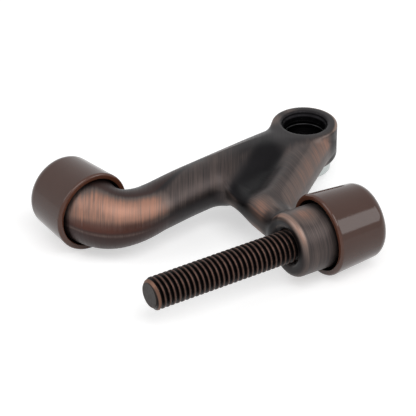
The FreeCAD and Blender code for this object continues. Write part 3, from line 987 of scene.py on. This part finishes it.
def zinc():
    """Bright zinc sleeve with turning marks, dark inside its bore."""
    s = Shader("bright_zinc")
    x, y, z = s.place()
    radius = s.math("SQRT", s.add(s.times(x, x), s.times(y, y)))
    rings = s.noise(s.vector(s.times(radius, 8.0), s.times(z, 8.0), 0.0), 1.0, 3.0)
    colour = s.mix(rings, ZINC_DARK, ZINC_LIGHT)
    colour = s.mix(s.number("dark"), colour, ZINC_BORE)
    s.set(Base_Color=colour, Metallic=1.0, Roughness=s.span(rings, 0.3, 0.7, 0.22, 0.34))
    s.bump(rings, 0.008)
    return s.material


def screw_bronze():
    """Blackened thread with copper crests, worn and lit by a painted highlight, and a grey tip with
    a copper chamfer.
    """
    s = Shader("screw_bronze")
    grain = s.noise(s.vector(*s.place()), 2.2, 3.0)
    # Copper on the crests: wear with a painted highlight.
    crest = s.span(s.add(s.number("crest"), s.off_middle(grain, 0.35)), 0.78, 1.08)
    colour = s.mix(crest, THREAD_ROOT, THREAD_CREST)
    tip = s.mix(grain, TIP_DARK, TIP_LIGHT)
    tip = s.mix(s.span(s.number("crest"), 0.2, 0.8), tip, TIP_EDGE)
    colour = s.mix(s.number("faced"), colour, tip)
    s.set(Base_Color=colour, Metallic=0.85, Roughness=s.span(grain, 0.3, 0.7, 0.36, 0.5))
    s.bump(grain, 0.01)
    return s.material


# Stage

def seen_rays(tree):
    """1 for camera, glossy and transmission rays, and 0 for the rest."""
    path = tree.nodes.new("ShaderNodeLightPath")
    total = path.outputs["Is Camera Ray"]
    for name in ("Is Glossy Ray", "Is Transmission Ray"):
        add = tree.nodes.new("ShaderNodeMath")
        add.operation = "MAXIMUM"
        tree.links.new(total, add.inputs[0])
        tree.links.new(path.outputs[name], add.inputs[1])
        total = add.outputs[0]
    return total


def make_floor():
    """Pale floor that the bumpers touch. It shows near white, and keeps the shadow."""
    z = CAD_BOX[0][2]
    half = FLOOR_HALF
    mesh = bpy.data.meshes.new("floor")
    corners = [(-half, -half, z), (half, -half, z), (half, half, z), (-half, half, z)]
    mesh.from_pydata(corners, [], [(0, 1, 2, 3)])
    s = Shader("floor")
    s.set(Base_Color=FLOOR_GREY, Roughness=0.9, Specular_IOR_Level=0.0, Emission_Color=WHITE)
    tree = s.material.node_tree
    s.set(Emission_Strength=s.times(seen_rays(tree), FLOOR_GLOW))
    mesh.materials.append(s.material)
    floor = bpy.data.objects.new("floor", mesh)
    bpy.context.scene.collection.objects.link(floor)


def make_world():
    """White surroundings that light the object plainly. They are seen at full white."""
    world = bpy.data.worlds.new("studio")
    bpy.context.scene.world = world
    world.use_nodes = True
    tree = world.node_tree
    background = tree.nodes["Background"]
    background.inputs["Color"].default_value = (*WHITE, 1.0)
    level = tree.nodes.new("ShaderNodeMapRange")
    tree.links.new(seen_rays(tree), level.inputs["Value"])
    level.inputs["To Min"].default_value = WORLD_LIGHT
    level.inputs["To Max"].default_value = WORLD_SEEN
    tree.links.new(level.outputs[0], background.inputs["Strength"])


def view_axes(azimuth, elevation):
    """Right, up and back of what looks at the object from an azimuth and elevation."""
    level = math.cos(elevation)
    right = np.array([math.cos(azimuth), math.sin(azimuth), 0])
    back = np.array([math.sin(azimuth) * level, -math.cos(azimuth) * level, math.sin(elevation)])
    return right, np.cross(back, right), back


def stand(thing, axes, at):
    """Put a lamp or camera in the scene, with its axes and place."""
    rows = np.eye(4)
    rows[:3, :3] = np.stack(axes, -1)
    rows[:3, 3] = at
    thing.matrix_world = Matrix(rows.tolist())
    bpy.context.scene.collection.objects.link(thing)


def make_lamp(name, azimuth, elevation, distance, width, height, radiance):
    """Soft rectangular lamp that faces the object."""
    axes = view_axes(math.radians(azimuth), math.radians(elevation))
    light = bpy.data.lights.new(name, "AREA")
    light.shape = "RECTANGLE"
    light.size, light.size_y = width, height
    light.energy = radiance * math.pi * width * height
    lamp = bpy.data.objects.new(name, light)
    stand(lamp, axes, np.array(LAMP_TARGET) + axes[2] * distance)


def make_camera():
    """Camera where the photograph was taken from, found from the pixel of the eye's top."""
    right, up, back = view_axes(CAMERA_AZIMUTH, CAMERA_ELEVATION)
    across = (EYE_PIXEL[0] - PHOTO_SIZE / 2) / PHOTO_FOCAL * CAMERA_DISTANCE
    above = (PHOTO_SIZE / 2 - EYE_PIXEL[1]) / PHOTO_FOCAL * CAMERA_DISTANCE
    eye = np.array([0, 0, EYE_TOP * MM])
    data = bpy.data.cameras.new("camera")
    data.sensor_width = SENSOR_WIDTH
    data.lens = SENSOR_WIDTH * PHOTO_FOCAL / PHOTO_SIZE
    data.clip_start = 0.01
    camera = bpy.data.objects.new("camera", data)
    stand(camera, (right, up, back), eye + back * CAMERA_DISTANCE - right * across - up * above)
    bpy.context.scene.camera = camera


def fit(piece, body, node):
    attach(piece, body)
    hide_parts(node)


def main():
    make_camera()
    make_floor()
    make_world()
    for name, settings in LAMPS.items():
        make_lamp(name, *settings)
    bpy.context.scene.view_settings.view_transform = "Standard"

    fit(make_casting(bronze()), "stop", "body_casting")
    fit(make_sleeve(zinc()), "stop", "pin_bushing")
    brown = rubber()
    fixed = make_cup("fixed_cup", (*FIXED_MOUTH, 0.0), (*BUMPER_WAY, 0.0), brown)
    fit(fixed, "stop", "fixed_bumper")
    mouth = (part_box("adjuster_bumper")[0].x / MM, SCREW_Y, 0.0)
    adjuster = make_cup("adjuster_cup", mouth, (1, 0, 0), brown)
    fit(adjuster, "bumper", "adjuster_bumper")
    fit(make_screw(screw_bronze()), "screw", "adjuster_screw")


main()
